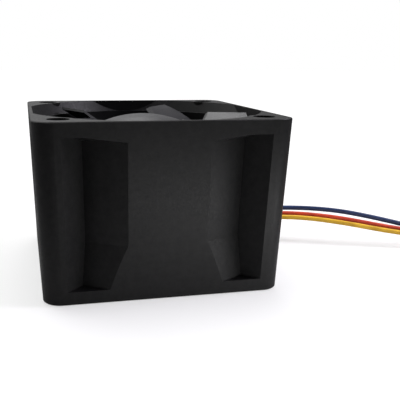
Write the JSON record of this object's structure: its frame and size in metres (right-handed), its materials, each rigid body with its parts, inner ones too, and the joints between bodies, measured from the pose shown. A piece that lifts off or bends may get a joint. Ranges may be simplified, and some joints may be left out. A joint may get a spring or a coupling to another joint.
{
  "type": "server fan module",
  "caption": "Square axial cooling fan for a server: deep ducted frame, bladed impeller on a brushless motor, loose lead wires with a plug.",
  "frame": {"origin": "centre of the outlet face, on the fan's axis", "axes": "+Z along the fan's axis from the outlet to the inlet, against the airflow; +X to the side where the wires leave; -Y to the front"},
  "size_m": [0.1194, 0.0418, 0.028],
  "materials": {
    "black_plastic": "fine moulded grain",
    "impeller_plastic": "smooth, slightly glossy",
    "brass": "turned",
    "steel": "ground",
    "yoke_steel": "drawn and zinc plated",
    "spring_steel": "drawn wire",
    "laminations": "stamped sheets",
    "magnet": "bonded ferrite",
    "insulator_plastic": "satin",
    "copper_wire": "enamelled",
    "board": "solder resist",
    "chip_plastic": "matt",
    "ceramic": "satin",
    "resistor": "satin",
    "cage_plastic": "natural nylon",
    "red_pvc": "soft sheen",
    "yellow_pvc": "soft sheen",
    "blue_pvc": "soft sheen",
    "mixed_pvc": "soft sheen",
    "plug_plastic": "satin",
    "tin": "tin plated"
  },
  "bodies": {
    "frame": {"housing": "black_plastic", "bearing_plug": "black_plastic", "bearing_tube": "brass", "stator_core": "laminations", "lower_insulator": "insulator_plastic", "upper_insulator": "insulator_plastic", "windings": "copper_wire", "winding_pins": "tin", "circuit_board": "board", "driver_chip": "chip_plastic", "hall_sensor": "chip_plastic", "board_capacitors": "ceramic", "board_resistors": "resistor", "lower_bearing_outer_ring": "steel", "upper_bearing_outer_ring": "steel", "yellow_wire": "yellow_pvc", "red_wire": "red_pvc", "blue_wire": "blue_pvc", "wire_coil": "mixed_pvc", "connector_housing": "plug_plastic", "connector_terminals": "tin"},
    "rotor": {"impeller": "impeller_plastic", "rotor_yoke": "yoke_steel", "magnet_ring": "magnet", "shaft_bush": "brass", "shaft": "steel", "retaining_clip": "spring_steel", "thrust_washer": "cage_plastic", "preload_spring": "spring_steel", "lower_bearing_inner_ring": "steel", "upper_bearing_inner_ring": "steel"},
    "lower_ball_set": {"lower_bearing_balls": "steel", "lower_bearing_cage": "cage_plastic"},
    "upper_ball_set": {"upper_bearing_balls": "steel", "upper_bearing_cage": "cage_plastic"}
  },
  "joints": [
    {"name": "rotor_spin", "type": "hinge", "parent": "frame", "child": "rotor", "pos_m": [0, 0, 0], "axis": [0, 0, 1], "continuous": true},
    {"name": "lower_balls_orbit", "type": "hinge", "parent": "frame", "child": "lower_ball_set", "pos_m": [0, 0, 0.00525], "axis": [0, 0, 1], "continuous": true},
    {"name": "upper_balls_orbit", "type": "hinge", "parent": "frame", "child": "upper_ball_set", "pos_m": [0, 0, 0.02005], "axis": [0, 0, 1], "continuous": true}
  ],
  "couplings": [
    {"joint": "lower_balls_orbit", "follows": "rotor_spin", "ratio": 0.3914},
    {"joint": "upper_balls_orbit", "follows": "rotor_spin", "ratio": 0.3914}
  ]
}
